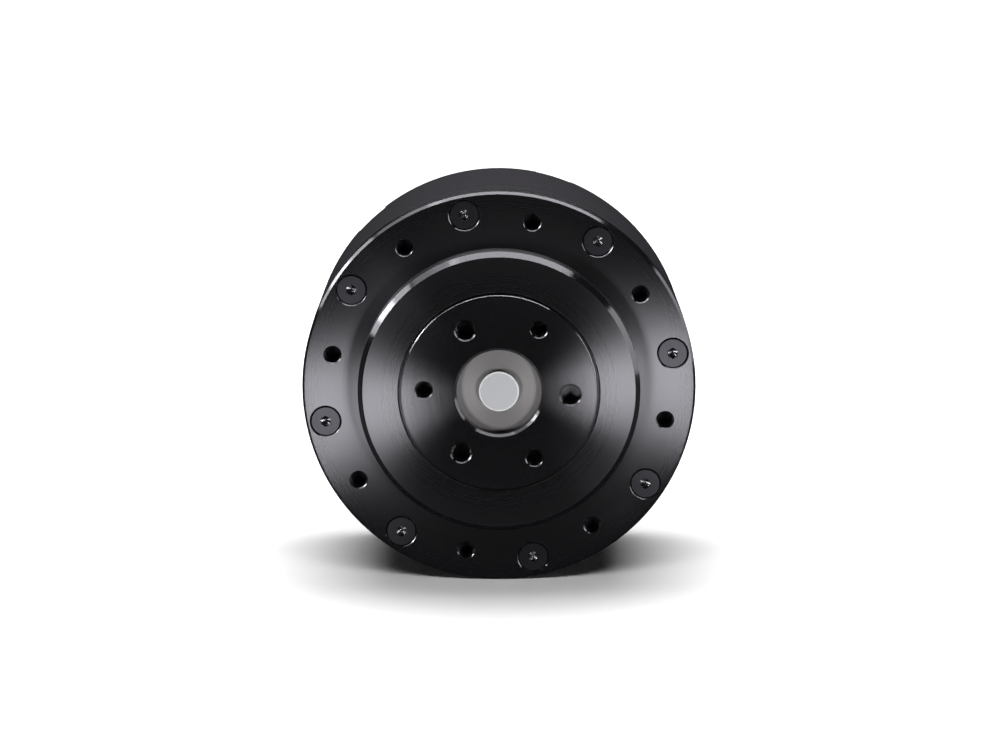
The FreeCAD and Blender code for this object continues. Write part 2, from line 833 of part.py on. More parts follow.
def bevelled_loop(half_width, start, end, bevel):
    """Closed outline of a box with bevelled corners, in the plane x = coil_start_radius."""
    corners = [
        (half_width, start + bevel),
        (half_width, end - bevel),
        (half_width - bevel, end),
        (bevel - half_width, end),
        (-half_width, end - bevel),
        (-half_width, start + bevel),
        (bevel - half_width, start),
        (half_width - bevel, start),
    ]
    points = [Vector(coil_start_radius, y, z) for z, y in corners]
    return Part.makePolygon(points + points[:1])


def windings():
    """One coil round each stator tooth."""
    inner_half = tooth_width / 2 + coil_gap
    inner_bevel = coil_bevel / 3
    outer = Part.Face(bevelled_loop(inner_half + coil_wall, coils_front, coils_back, coil_bevel))
    hole = Part.Face(
        bevelled_loop(inner_half, stator_front - coil_gap - inner_bevel, stator_back + coil_gap + inner_bevel,
                      inner_bevel))
    depth = Vector(coil_end_radius - coil_start_radius, 0, 0)
    coil = outer.extrude(depth).cut(hole.extrude(depth))
    return [turn(coil, angle) for angle in spread(slot_count)]


def rotor_radius():
    """Outer radius of the rotor's magnets."""
    return stator_bore / 2 - air_gap


def rotor_magnets():
    """Curved magnets on the back iron."""
    outer = rotor_radius()
    inner = outer - magnet_thickness
    span = 360.0 / magnet_count * magnet_share
    magnet = turned([
        (inner + fit, rotor_front),
        (outer, rotor_front),
        (outer, rotor_back),
        (inner + fit, rotor_back),
    ], span)
    return [turn(magnet, angle - span / 2) for angle in spread(magnet_count)]


def rotor_back_iron():
    """Steel ring that carries the magnets."""
    outer = rotor_radius() - magnet_thickness
    return ring(outer, outer - back_iron_thickness, rotor_front, rotor_back)


def rotor_hub():
    """Light hub between the motor shaft and the back iron."""
    rim = rotor_radius() - magnet_thickness - back_iron_thickness - fit
    bore = shaft_diameter / 2 + fit
    boss = hub_boss_diameter / 2
    middle = (rotor_front + rotor_back) / 2
    web_start = middle - hub_web_thickness / 2
    web_end = middle + hub_web_thickness / 2
    return turned([
        (bore, front_bearing_back + bearing_lip),
        (boss, front_bearing_back + bearing_lip),
        (boss, web_start),
        (rim - hub_rim, web_start),
        (rim - hub_rim, rotor_front),
        (rim, rotor_front),
        (rim, rotor_back),
        (rim - hub_rim, rotor_back),
        (rim - hub_rim, web_end),
        (boss, web_end),
        (boss, rear_bearing_front - bearing_lip - running_gap),
        (bore, rear_bearing_front - bearing_lip - running_gap),
    ])


def rotor_shaft():
    """Hollow motor shaft. The encoder rod passes through it."""
    seat = motor_bearing_bore / 2 - fit
    shank = sun_shank_diameter / 2 + fit
    return turned([
        (shank, shaft_front),
        (seat, shaft_front),
        (seat, front_bearing_back),
        (shaft_diameter / 2, front_bearing_back),
        (shaft_diameter / 2, rear_bearing_front),
        (seat, rear_bearing_front),
        (seat, shaft_back),
        (shaft_bore / 2, shaft_back),
        (shaft_bore / 2, front_bearing_back),
        (shank, front_bearing_back),
    ])


def motor_bearing_places():
    """Front station of each motor bearing."""
    return [front_bearing_front, rear_bearing_front]


def rotor_bearing_inner_rings():
    """Inner rings of both motor bearings."""
    bore = motor_bearing_bore / 2
    outer = bore + motor_bearing_inner_wall
    return [ring(outer, bore, start, start + motor_bearing_width) for start in motor_bearing_places()]


def rotor_bearing_outer_rings():
    """Outer rings of both motor bearings, with the shields that close them."""
    outer = motor_bearing_diameter / 2
    inner = outer - motor_bearing_outer_wall
    shield = motor_bearing_bore / 2 + motor_bearing_inner_wall + motor_bearing_shield_gap
    rings = []
    for start in motor_bearing_places():
        end = start + motor_bearing_width
        rings.append(turned([
            (outer, start),
            (outer, end),
            (shield, end),
            (shield, end - motor_bearing_shield),
            (inner, end - motor_bearing_shield),
            (inner, start + motor_bearing_shield),
            (shield, start + motor_bearing_shield),
            (shield, start),
        ]))
    return rings


def motor_end_plate():
    """Plate behind the motor that carries the rear motor bearing and the driver board."""
    seat = motor_bearing_diameter / 2 + fit
    boss = seat + bearing_boss_wall
    lip = bearing_lip_bore / 2
    body = turned([
        (lip, rear_bearing_front - bearing_lip),
        (boss, rear_bearing_front - bearing_lip),
        (boss, end_plate_front),
        (end_plate_diameter / 2 - fit, end_plate_front),
        (end_plate_diameter / 2 - fit, end_plate_back),
        (seat, end_plate_back),
        (seat, rear_bearing_front),
        (lip, rear_bearing_front),
    ])
    lead_hole = disc(phase_lead_hole / 2, end_plate_front, end_plate_back)
    thread = disc(board_screw_diameter / 2 + fit, end_plate_front, end_plate_back)
    tools = around(lead_hole, phase_lead_circle, spread(phase_lead_count))
    tools += around(thread, standoff_circle, standoff_angles())
    return body.cut(tools)


def end_plate_circlip():
    """Retaining ring with a gap that holds the end plate in the barrel."""
    outer = end_plate_diameter / 2 + circlip_depth - fit
    inner = outer - circlip_width
    circlip = turned([
        (inner, end_plate_back),
        (outer, end_plate_back),
        (outer, end_plate_back + circlip_thickness),
        (inner, end_plate_back + circlip_thickness),
    ], 360 - circlip_opening)
    return turn(circlip, 270 + circlip_opening / 2)


def encoder_rod():
    """Rod that carries the output's position back to the driver board through the hollow shaft."""
    head = rod_head_diameter / 2
    front = output_face + rod_head_drop
    return turned([
        (0, front),
        (head - rod_head_chamfer, front),
        (head, front + rod_head_chamfer),
        (head, pilot_floor),
        (rod_diameter / 2, pilot_floor),
        (rod_diameter / 2, rod_back),
        (0, rod_back),
    ])


def hub_cap():
    """Turned steel disc in the pilot bore round the rod's head."""
    return ring(pilot_diameter / 2 - fit, rod_head_diameter / 2 + fit, hub_cap_front, pilot_floor)


def rod_magnet():
    """Magnet on the rear end of the encoder rod."""
    return disc(rod_magnet_diameter / 2, rod_back, rod_back + rod_magnet_thickness)


def rotor_magnet_ring():
    """Magnet ring on the rear end of the motor shaft."""
    outer = motor_bearing_bore / 2 - fit
    return ring(outer, rotor_magnet_bore / 2, shaft_back, shaft_back + rotor_magnet_thickness)


def standoff_angles():
    """Where the board's standoffs stand."""
    return spread(standoff_count, 45.0)


def driver_board():
    """Round circuit board with its screw holes."""
    body = disc(board_diameter / 2, board_front, board_back)
    hole = disc(board_screw_diameter / 2 + fit, board_front, board_back)
    return body.cut(around(hole, standoff_circle, standoff_angles()))


def board_standoffs():
    """Spacers between end plate and board."""
    spacer = ring(standoff_diameter / 2, board_screw_diameter / 2 + fit, end_plate_back, board_front)
    return around(spacer, standoff_circle, standoff_angles())


def board_screws():
    """Pan head screws that hold the board."""
    shank = board_screw_diameter / 2
    tip = end_plate_back - board_screw_grip
    screw = turned([
        (0, board_back + board_screw_head_height),
        (board_screw_head / 2, board_back + board_screw_head_height),
        (board_screw_head / 2, board_back),
        (shank, board_back),
        (shank, tip),
        (0, tip),
    ])
    return around(screw, standoff_circle, standoff_angles())


def board_parts():
    """Position sensors in front of the board, processor, power switches and capacitors behind it."""
    sensor_front = board_front - sensor_height
    side_sensor_place = (rotor_magnet_bore + motor_bearing_bore) / 4 + sensor_size / 4
    pieces = [
        block(sensor_size, sensor_size, sensor_front, board_front),
        block(sensor_size, sensor_size, sensor_front, board_front, x=side_sensor_place + sensor_size / 2),
        block(processor_size, processor_size, board_back, board_back + processor_height),
    ]
    switch = block(switch_width, switch_length, board_back, board_back + switch_height, x=switch_radius)
    for number in range(switch_count):
        pair = number % 2 - 0.5
        side = number // 2 * 90.0 - 90.0
        pieces.append(turn(switch, side + pair * switch_spread * 2))
    capacitor = disc(capacitor_diameter / 2, board_back, board_back + capacitor_height)
    pieces += around(capacitor, 2 * capacitor_radius, spread(capacitor_count, switch_angle))
    return pieces


def phase_leads():
    """Stiff copper leads from the windings to the board."""
    lead = disc(phase_lead_diameter / 2, coils_back, board_front)
    return around(lead, phase_lead_circle, spread(phase_lead_count))


def power_connector():
    """Two-pin power inlet with a keyed corner, soldered to the board."""
    body = block(power_width, power_height, board_back, connector_back)
    right = power_width / 2
    top = power_height / 2
    corner = [
        Vector(right, board_back, top),
        Vector(right - power_corner, board_back, top),
        Vector(right, board_back, top - power_corner),
    ]
    key = Part.Face(Part.makePolygon(corner + corner[:1])).extrude(Vector(0, connector_back - board_back, 0))
    well = disc(power_pin_well / 2, connector_back - socket_depth, connector_back)
    pin = disc(power_pin_diameter / 2, connector_back - socket_depth, connector_back - pin_depth)
    sides = [0, 180]
    body = body.cut([key] + around(well, power_pin_pitch, sides))
    body = body.fuse(around(pin, power_pin_pitch, sides))
    return shifted(body, z=power_offset)


def signal_sockets():
    """Two four-pin sockets for the data bus, in and out."""
    body = block(signal_width, signal_height, board_back, connector_back)
    floor = connector_back - socket_depth
    inside = block(signal_width - 2 * signal_wall, signal_height - 2 * signal_wall, floor, connector_back)
    body = body.cut(inside)
    row = (signal_pins - 1) / 2
    for number in range(signal_pins):
        x = (number - row) * signal_pin_pitch
        body = body.fuse(block(signal_pin_size, signal_pin_size, floor, connector_back - pin_depth, x=x))
    return [shifted(body, x=side * signal_pitch / 2, z=signal_offset) for side in (-1, 1)]


def rear_cover():
    """Cover over the driver board, with windows for the connectors."""
    radius = cover_diameter / 2
    register = end_plate_diameter / 2 - fit
    inside = register - cover_register_wall
    body = turned([
        (0, cover_back),
        (radius - cover_chamfer, cover_back),
        (radius, cover_back - cover_chamfer),
        (radius, barrel_back),
        (register, barrel_back),
        (register, barrel_back - cover_register),
        (inside, barrel_back - cover_register),
        (inside, cover_back - cover_wall),
        (0, cover_back - cover_wall),
    ])
    start = cover_back - cover_wall
    power_window = (power_width + 2 * window_gap, power_height + 2 * window_gap)
    tools = [block(*power_window, start, cover_back, z=power_offset)]
    for side in (-1, 1):
        tools.append(block(
            signal_width + 2 * window_gap, signal_height + 2 * window_gap, start, cover_back,
            x=side * signal_pitch / 2, z=signal_offset))
    screw_space = flat_screw_space(cover_screw_recess_diameter, cover_screw_hole, cover_height)
    space = facing_back(screw_space, cover_back)
    tools += around(space, cover_screw_circle, spread(cover_screw_count, cover_screw_angle))
    return body.cut(tools)


def cover_screws():
    """Flat head screws that hold the rear cover."""
    length = cover_height + cover_screw_grip
    screw = flat_screw(
        cover_screw_diameter, cover_screw_head_diameter, cover_screw_recess_diameter,
        cover_screw_key, cover_screw_key_depth, length)
    places = spread(cover_screw_count, cover_screw_angle)
    return around(facing_back(screw, cover_back), cover_screw_circle, places)


def write(name, shape):
    """Write one node. A list of solids becomes one node of separate solids."""
    if isinstance(shape, list):
        shape = Part.makeCompound(shape)
    shape.exportStep("parts/" + name + ".step")
    state = "valid" if shape.isValid() else "INVALID"
    print(name, len(shape.Solids), "solids", round(shape.Volume, 1), "mm3", state)


def main():
    os.makedirs("parts", exist_ok=True)
    pieces = [
        front_flange, flange_screws, ring_gear, motor_barrel, rear_cover, cover_screws, output_seal,
        bearing_outer_ring, bearing_clamp_ring, stator_core, windings, phase_leads, motor_end_plate,
        end_plate_circlip, rotor_bearing_outer_rings, driver_board, board_parts, board_standoffs,
        board_screws, power_connector, signal_sockets, output_disc, hub_cap, encoder_rod, rod_magnet,
        bearing_inner_ring, planet_carrier, carrier_rear_plate, carrier_screws, planet_pins,
        bearing_rollers, bearing_cage, sun_gear, rotor_shaft, rotor_hub, rotor_back_iron,
        rotor_magnets, rotor_bearing_inner_rings, rotor_magnet_ring,
    ]
    for piece in pieces:
        write(piece.__name__, piece())
    for number, (gear, bush) in enumerate(zip(planet_gears(), planet_bushes()), 1):
        write("planet_gear_%d" % number, gear)
        write("planet_bush_%d" % number, bush)


main()
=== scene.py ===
# %% [markdown]
# # A robot joint actuator, dressed for its picture
# The actuator is a round black housing with a motor inside and a turning disc in front.
# Its solids come ready made, so this lesson is about finishes, light and camera.
# The model is loaded first, and everything after it keeps to its places.

# %% Load the solids
import math
import bpy
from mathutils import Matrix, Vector


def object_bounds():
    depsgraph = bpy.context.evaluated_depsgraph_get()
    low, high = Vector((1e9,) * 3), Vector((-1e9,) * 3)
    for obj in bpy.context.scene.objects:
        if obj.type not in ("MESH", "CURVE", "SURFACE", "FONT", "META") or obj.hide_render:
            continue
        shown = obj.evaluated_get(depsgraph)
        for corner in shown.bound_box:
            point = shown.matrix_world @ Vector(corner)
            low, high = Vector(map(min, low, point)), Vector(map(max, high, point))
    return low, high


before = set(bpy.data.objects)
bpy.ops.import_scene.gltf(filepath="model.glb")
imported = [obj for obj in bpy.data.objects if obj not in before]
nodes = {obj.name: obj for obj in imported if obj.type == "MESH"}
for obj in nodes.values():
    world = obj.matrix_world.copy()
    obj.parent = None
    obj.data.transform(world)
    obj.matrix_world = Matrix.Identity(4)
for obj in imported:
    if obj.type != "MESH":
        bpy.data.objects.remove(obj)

solid_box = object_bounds()

# %% [markdown]
# ## Colours
# A colour is written here as it looks on a screen, in hex. The renderer counts light, and half
# the light doesn't look half as bright, so each colour passes through the screen's curve once.

# %% From hex to linear light
def linear(hex_colour):
    """A screen colour such as "#3B393F" as linear red, green, blue and alpha."""
    levels = [int(hex_colour[i:i + 2], 16) / 255 for i in (1, 3, 5)]
    curved = [c / 12.92 if c <= 0.04045 else ((c + 0.055) / 1.055) ** 2.4 for c in levels]
    return (*curved, 1.0)


print("mid grey #808080 is", round(linear("#808080")[0], 3), "of full light")

# %% [markdown]
# ## Wiring a finish
# A finish is a small graph: patterns feed one shader. Making a node, setting it and plugging it
# in is always the same work, so one function does all three. Names in lower case are the node's
# own settings, and the others are its sockets. With it, two more functions start a finish and
# put it on the solids.

# %% Add a node, start a finish, dress the solids
def add(tree, kind, settings=None, links=None):
    """Adds a node of that kind, sets it, and plugs the given outputs into its sockets."""
    node = tree.nodes.new("ShaderNode" + kind)
    for name, value in (settings or {}).items():
        if str(name).islower():
            setattr(node, name, value)
        else:
            node.inputs[name].default_value = value
    for socket, output in (links or {}).items():
        tree.links.new(output, node.inputs[socket])
    return node


def finish(name, settings):
    """A new material with one Principled shader, set to the finish's average. Patterns are
    plugged in over that. Returns the material, its tree and the shader."""
    material = bpy.data.materials.new(name)
    material.use_nodes = True
    tree = material.node_tree
    tree.nodes.clear()
    shader = add(tree, "BsdfPrincipled", settings)
    add(tree, "OutputMaterial", links={"Surface": shader.outputs[0]})
    return material, tree, shader


undressed = set(nodes)


def dress(material, *names):
    """Puts the material on these solids."""
    for name in names:
        mesh = nodes[name].data
        mesh.materials.clear()
        mesh.materials.append(material)
        undressed.discard(name)
    print(material.name, "on", ", ".join(names))


print(len(undressed), "solids wait for a finish")

# %% [markdown]
# ## Distance from the axis
# Nearly everything here was turned on a lathe, so its marks run in circles round the Y axis.
# A pattern that reads only the distance from that axis gives rings. The scene is in metres,
# and the patterns are thought out in millimetres, so the place is multiplied by 1000.

# %% Places in millimetres
MM = 1000               # millimetres in a metre


def place_in_mm(tree, stretch=(MM, MM, MM)):
    """The place on the solid in millimetres. A stretch of 0 flattens that direction."""
    where = add(tree, "TexCoord").outputs["Object"]
    scaled = add(tree, "VectorMath", {"operation": "MULTIPLY", 1: stretch}, {0: where})
    return scaled.outputs["Vector"]


def from_axis(tree):
    """The distance from the axis in millimetres."""
    flat = place_in_mm(tree, (MM, 0, MM))
    return add(tree, "VectorMath", {"operation": "LENGTH"}, {0: flat}).outputs["Value"]


print("patterns are drawn in millimetres, and there are", MM, "in a metre")

# %% [markdown]
# ## Marks and what they do
# A cutting tool leaves rings, and the shader needs them three times: as grain that follows the
# circles, as a roughness that changes from ring to ring, and as a fine relief. Noise makes the
# rings, because it is as uneven as real marks are.

# %% Rings, grain, roughness and relief
def rings(tree, spacing_mm):
    """A value from 0 to 1 that changes only outwards from the axis, like marks of a lathe tool."""
    settings = {"noise_dimensions": "1D", "Scale": 1 / spacing_mm, "Detail": 3, "Roughness": 0.6}
    return add(tree, "TexNoise", settings, {"W": from_axis(tree)}).outputs["Fac"]


def follow_circles(tree, shader):
    """Turns the shader's grain into circles round the axis."""
    circles = add(tree, "Tangent", {"direction_type": "RADIAL", "axis": "Y"})
    tree.links.new(circles.outputs[0], shader.inputs["Tangent"])


def spread_of(tree, pattern, low, high):
    """Stretches a pattern to run from low to high. Noise stays mostly between 0.3 and 0.7."""
    limits = {"From Min": 0.3, "From Max": 0.7, "To Min": low, "To Max": high}
    return add(tree, "MapRange", limits, {"Value": pattern}).outputs["Result"]


def roughen(tree, shader, pattern, low, high):
    """Lets the pattern steer the roughness between low and high."""
    tree.links.new(spread_of(tree, pattern, low, high), shader.inputs["Roughness"])


def relief(tree, shader, pattern, depth_mm):
    """Raises the surface by depth_mm where the pattern is 1."""
    bump = add(tree, "Bump", {"Strength": 1.0, "Distance": depth_mm / MM}, {"Height": pattern})
    tree.links.new(bump.outputs["Normal"], shader.inputs["Normal"])


print("one tool mark every 0.1 mm is half a pixel, so marks are drawn wider")

# %% [markdown]
# ## Places with another finish
# A bevel is often cut last, with another tool, so it looks different from the face beside it.
# The direction of its normal tells it apart. A mask that is 1 there picks the other roughness
# and the other colour.

# %% Masks and what they pick
BEVEL_FACING = 0.7      # how far the normal of a 45 degree bevel points forward
BEVEL_SPREAD = 0.2      # and how much more or less still counts as a bevel


def facing_forward(tree):
    """1 on faces square to the axis, 0.7 on bevels and 0 on sides and walls."""
    facing = add(tree, "TexCoord").outputs["Normal"]
    forward = add(tree, "SeparateXYZ", links={"Vector": facing}).outputs["Y"]
    return add(tree, "Math", {"operation": "ABSOLUTE"}, {0: forward}).outputs[0]


def on_bevel(tree):
    """1 on a bevel, whose normal lies halfway between face and side, and 0 elsewhere."""
    return add(tree, "Math", {"operation": "COMPARE", 1: BEVEL_FACING, 2: BEVEL_SPREAD},
               {0: facing_forward(tree)}).outputs[0]


def smooth_where(tree, shader, mask, smooth, elsewhere):
    """One even roughness where the mask is 1, and a pattern's where it is 0."""
    mix = add(tree, "Mix", {"data_type": "FLOAT", 3: smooth}, {0: mask, 2: elsewhere})
    tree.links.new(mix.outputs[0], shader.inputs["Roughness"])


def colour_where(tree, shader, mask, hex_colour):
    """Another colour where the mask is 1. Sockets 6 and 7 of a Mix node are its two colours."""
    mix = add(tree, "Mix", {"data_type": "RGBA"}, {"Factor": mask})
    mix.inputs[6].default_value = shader.inputs["Base Color"].default_value
    mix.inputs[7].default_value = linear(hex_colour)
    tree.links.new(mix.outputs[2], shader.inputs["Base Color"])


print("a 45 degree bevel faces forward by", round(math.cos(math.radians(45)), 2))

# %% [markdown]
# ## The front: aluminium, turned and anodised black
# The flange and the output disc are faced on a lathe and then anodised. The dyed oxide is black
# and a little glossy, and the fine circular marks under it spread each lamp's reflection
# outwards from the axis. That gives the two bright fans, left and right. The shader does this
# with anisotropy: the radial tangent follows the circles, and a quarter turn lets the light
# spread across them. The oxide is alumina, as sapphire is, so the IOR is 1.77.
# Real marks stand 0.1 mm apart, and are drawn 0.35 mm apart so that they show. The cut is finer
# where the tool starts at the flange's edge and where it ends near the axis. Finer marks spread
# less light, so the fans are dimmer there. The bevels are cut with a finer tool and are smoother.
# The disc's rim bevel gets a light bare-metal colour, a painted highlight for the thin bright line
# there.

# %% Turned black anodise
turned_black, tree, shader = finish("turned_black_anodise", {
    "Base Color": linear("#0B0B0C"), "IOR": 1.77, "Roughness": 0.36,
    "Anisotropic": 0.97, "Anisotropic Rotation": 0.25, "Specular Tint": linear("#F8F6FF")})
follow_circles(tree, shader)
marks = rings(tree, 0.35)
outwards = from_axis(tree)
inner = add(tree, "MapRange", {"From Min": 9.0, "From Max": 30.0, "To Min": 0.3, "To Max": 1.0},
            {"Value": outwards}).outputs["Result"]
outer = add(tree, "MapRange", {"From Min": 31.0, "From Max": 40.0, "To Min": 1.0, "To Max": 0.6},
            {"Value": outwards}).outputs["Result"]
coarse = add(tree, "Math", {"operation": "MULTIPLY"}, {0: inner, 1: outer}).outputs[0]
turned = add(tree, "Math", {"operation": "MULTIPLY"},
             {0: spread_of(tree, marks, 0.33, 0.41), 1: coarse}).outputs[0]
bevel = on_bevel(tree)
smooth_where(tree, shader, bevel, smooth=0.2, elsewhere=turned)
# Painted highlight: a light metal colour on the disc's rim bevel, found by its radius and its
# slope.
rim_radius, rim_half_width = 19.75, 0.3
on_rim = add(tree, "Math", {"operation": "COMPARE", 1: rim_radius, 2: rim_half_width},
             {0: outwards}).outputs[0]
rim_highlight = add(tree, "Math", {"operation": "MULTIPLY"}, {0: on_rim, 1: bevel}).outputs[0]
colour_where(tree, shader, rim_highlight, "#9C9CA1")
tree.links.new(rim_highlight, shader.inputs["Metallic"])
relief(tree, shader, marks, 0.0005)
dress(turned_black, "front_flange", "output_disc")

# %% [markdown]
# ## The side: blasted with fine beads, then anodised
# The barrel shows no fans and no marks, only an even dark grey with a touch of violet. Glass
# beads have dulled it before it was dyed, so it is rougher and has no direction. The dents are
# about 0.1 mm wide, and are drawn 0.25 mm wide.

# %% Blasted black anodise
blasted_black, tree, shader = finish("blasted_black_anodise", {
    "Base Color": linear("#131115"), "IOR": 1.5, "Roughness": 0.74,
    "Specular Tint": linear("#9A96A2")})
dents = add(tree, "TexNoise", {"Scale": 1 / 0.25, "Detail": 2},
            {"Vector": place_in_mm(tree)}).outputs["Fac"]
roughen(tree, shader, dents, 0.7, 0.78)
relief(tree, shader, dents, 0.004)
dress(blasted_black, "ring_gear", "motor_barrel", "rear_cover")

# %% [markdown]
# ## Screws: alloy steel with black oxide
# The oxide is thin, so the steel below still gives it a soft metal shine. The heads are cold
# formed, which leaves them slightly uneven, and their sockets are punched.

# %% Black oxide screws
black_oxide, tree, shader = finish("black_oxide_steel", {
    "Base Color": linear("#4A4A4B"), "Metallic": 1.0, "Roughness": 0.42})
uneven = add(tree, "TexNoise", {"Scale": 1 / 0.8, "Detail": 4},
             {"Vector": place_in_mm(tree)}).outputs["Fac"]
roughen(tree, shader, uneven, 0.36, 0.5)
relief(tree, shader, uneven, 0.006)
dress(black_oxide, "cover_screws", "carrier_screws", "board_screws")

# %% [markdown]
# The flange's own screws are seated first and then faced in the same cut as the flange, so their
# heads carry the same circles. Their oxide is duller than the dyed aluminium: the fans are
# weaker on the heads, and where the flange is darkest the heads are a little lighter. Each
# socket is punched over a drilled hole, so it ends in a shallow cone, 27 degrees steep. The cone
# gets a smooth, light metal colour, a painted glint, so that it shines white. The direction of
# the cone's normal tells it apart from the rest.

# %% Faced screw heads
faced_oxide, tree, shader = finish("faced_black_oxide", {
    "Base Color": linear("#060607"), "IOR": 1.6, "Roughness": 0.48,
    "Anisotropic": 0.9, "Anisotropic Rotation": 0.25, "Specular Tint": linear("#F4EFFF")})
follow_circles(tree, shader)
marks = rings(tree, 0.35)
cone_facing, cone_spread = 0.894, 0.03      # how far the cone's normal points forward
cone = add(tree, "Math", {"operation": "COMPARE", 1: cone_facing, 2: cone_spread},
           {0: facing_forward(tree)}).outputs[0]
smooth_where(tree, shader, cone, smooth=0.25, elsewhere=spread_of(tree, marks, 0.46, 0.54))
# Painted glint: a smooth, light metal colour on the socket's cone.
colour_where(tree, shader, cone, "#B4B4B8")
tree.links.new(cone, shader.inputs["Metallic"])
relief(tree, shader, marks, 0.001)
dress(faced_oxide, "flange_screws")

# %% [markdown]
# ## The middle: steel, turned and left bright
# The hub cap is plain steel straight from the lathe. It is a metal, so its colour is the colour
# of its reflections, and the marks spread them into softer fans than on the black parts.

# %% Turned steel
turned_steel, tree, shader = finish("turned_steel", {
    "Base Color": linear("#747272"), "Metallic": 1.0, "Roughness": 0.58,
    "Anisotropic": 0.35, "Anisotropic Rotation": 0.25})
follow_circles(tree, shader)
marks = rings(tree, 0.25)
roughen(tree, shader, marks, 0.54, 0.62)
relief(tree, shader, marks, 0.0015)
dress(turned_steel, "hub_cap", "bearing_clamp_ring", "planet_carrier", "carrier_rear_plate",
      "rotor_back_iron", "end_plate_circlip")

# %% [markdown]
# The rod in the centre has a blasted face of bright stainless steel. It scatters light from all
# lamps, so it is the lightest spot on the object. Its bevel is given a nearly white colour, a
# painted highlight that shows as a white ring. Pure metal would mirror the dim room there, so the
# bevel counts as only partly metal, which scatters the lamps' light as well.

# %% Satin stainless rod
satin_stainless, tree, shader = finish("satin_stainless_steel", {
    "Base Color": linear("#A9AAAD"), "Metallic": 1.0, "Roughness": 0.6})
bevel = on_bevel(tree)
grain = add(tree, "TexNoise", {"Scale": 1 / 0.15, "Detail": 2},
            {"Vector": place_in_mm(tree)}).outputs["Fac"]
smooth_where(tree, shader, bevel, smooth=0.35, elsewhere=spread_of(tree, grain, 0.55, 0.65))
# Painted highlight: a nearly white colour on the rod's bevel.
colour_where(tree, shader, bevel, "#F4F5F6")
metal = add(tree, "MapRange", {"To Min": 1.0, "To Max": 0.4}, {"Value": bevel})
tree.links.new(metal.outputs["Result"], shader.inputs["Metallic"])
relief(tree, shader, grain, 0.002)
dress(satin_stainless, "encoder_rod")

# %% [markdown]
# ## Inside: gears, bearings and pins
# Gear teeth are cut and ground, and a film of oil makes them glossier than turned steel. Their
# colour is that of bare steel, a little cooler and lighter than the hub cap. Bearing rings and
# rollers are ground to a near mirror.

# %% Gear steel and bearing steel
gear_steel, tree, shader = finish("oiled_gear_steel", {
    "Base Color": linear("#A9ABAE"), "Metallic": 1.0, "Roughness": 0.3})
oil = add(tree, "TexNoise", {"Scale": 1 / 3.0, "Detail": 4},
          {"Vector": place_in_mm(tree)}).outputs["Fac"]
roughen(tree, shader, oil, 0.2, 0.38)
dress(gear_steel, "sun_gear", "planet_gear_1", "planet_gear_2", "planet_gear_3",
      "planet_pins", "rotor_shaft")

ground_steel, tree, shader = finish("ground_bearing_steel", {
    "Base Color": linear("#C9CBCE"), "Metallic": 1.0, "Roughness": 0.16})
marks = rings(tree, 0.2)
roughen(tree, shader, marks, 0.12, 0.2)
relief(tree, shader, marks, 0.0006)
dress(ground_steel, "bearing_outer_ring", "bearing_inner_ring", "bearing_rollers",
      "rotor_bearing_outer_rings", "rotor_bearing_inner_rings")

# %% [markdown]
# The bushes are sintered bronze: powder pressed and baked, then soaked with oil. The pores
# between the grains stay open, so a cell pattern 0.3 mm wide darkens and dents the surface.

# %% Sintered bronze
def colour_between(tree, shader, pattern, dark, light, full_at=1.0):
    """Lets the pattern run from the dark to the light colour, which is full at full_at."""
    tone = add(tree, "ValToRGB", links={"Fac": pattern})
    first, last = tone.color_ramp.elements
    first.color = linear(dark)
    last.color = linear(light)
    last.position = full_at
    tree.links.new(tone.outputs[0], shader.inputs["Base Color"])


sintered_bronze, tree, shader = finish("sintered_bronze", {
    "Base Color": linear("#B3854A"), "Metallic": 1.0, "Roughness": 0.4})
pores = add(tree, "TexVoronoi", {"Scale": 1 / 0.3}, {"Vector": place_in_mm(tree)}).outputs[0]
colour_between(tree, shader, pores, "#7A5526", "#C39555", full_at=0.35)
relief(tree, shader, pores, 0.01)
dress(sintered_bronze, "planet_bush_1", "planet_bush_2", "planet_bush_3")

# %% [markdown]
# ## The motor
# The stator is a stack of stamped sheets 0.35 mm thick, so thin dark lines cross it. A wave that
# repeats once per sheet draws them, and lowers the surface a little between the sheets.

# %% Stacked sheets
WAVE_LENGTH = 0.314     # of the wave node at scale 1

stacked_sheets, tree, shader = finish("stacked_electrical_steel", {
    "Base Color": linear("#8E9093"), "Metallic": 1.0, "Roughness": 0.45})
sheet_mm = 0.35
sheet = add(tree, "TexWave", {"wave_type": "BANDS", "bands_direction": "Y",
                              "Scale": WAVE_LENGTH / sheet_mm},
            {"Vector": place_in_mm(tree)}).outputs["Fac"]
colour_between(tree, shader, sheet, "#3D3E40", "#94969A", full_at=0.3)
relief(tree, shader, sheet, 0.02)
dress(stacked_sheets, "stator_core")

# %% [markdown]
# The windings are copper wire in clear enamel, which tints it orange red and gives it a gloss
# coat. The wire is about 0.5 mm thick, so a wave of that length makes the turns.

# %% Enamelled copper
enamelled_copper, tree, shader = finish("enamelled_copper_wire", {
    "Base Color": linear("#A4522A"), "Metallic": 0.8, "Roughness": 0.3,
    "Coat Weight": 0.8, "Coat Roughness": 0.08, "Coat IOR": 1.55})
wire_mm = 0.5
turns = add(tree, "TexWave", {"wave_type": "RINGS", "rings_direction": "Y",
                              "Scale": WAVE_LENGTH / wire_mm, "Distortion": 0.8, "Detail": 1},
            {"Vector": place_in_mm(tree)}).outputs["Fac"]
# Painted shade: the colour darkens between the turns and is light on the crown of each turn.
colour_between(tree, shader, turns, "#5E240E", "#BC6636")
relief(tree, shader, turns, 0.12)
dress(enamelled_copper, "windings", "phase_leads")

# %% [markdown]
# The end plate and the rotor's hub are plain aluminium, turned and left bare. The magnets are
# plated with nickel, which is smooth, bright and a little warm.

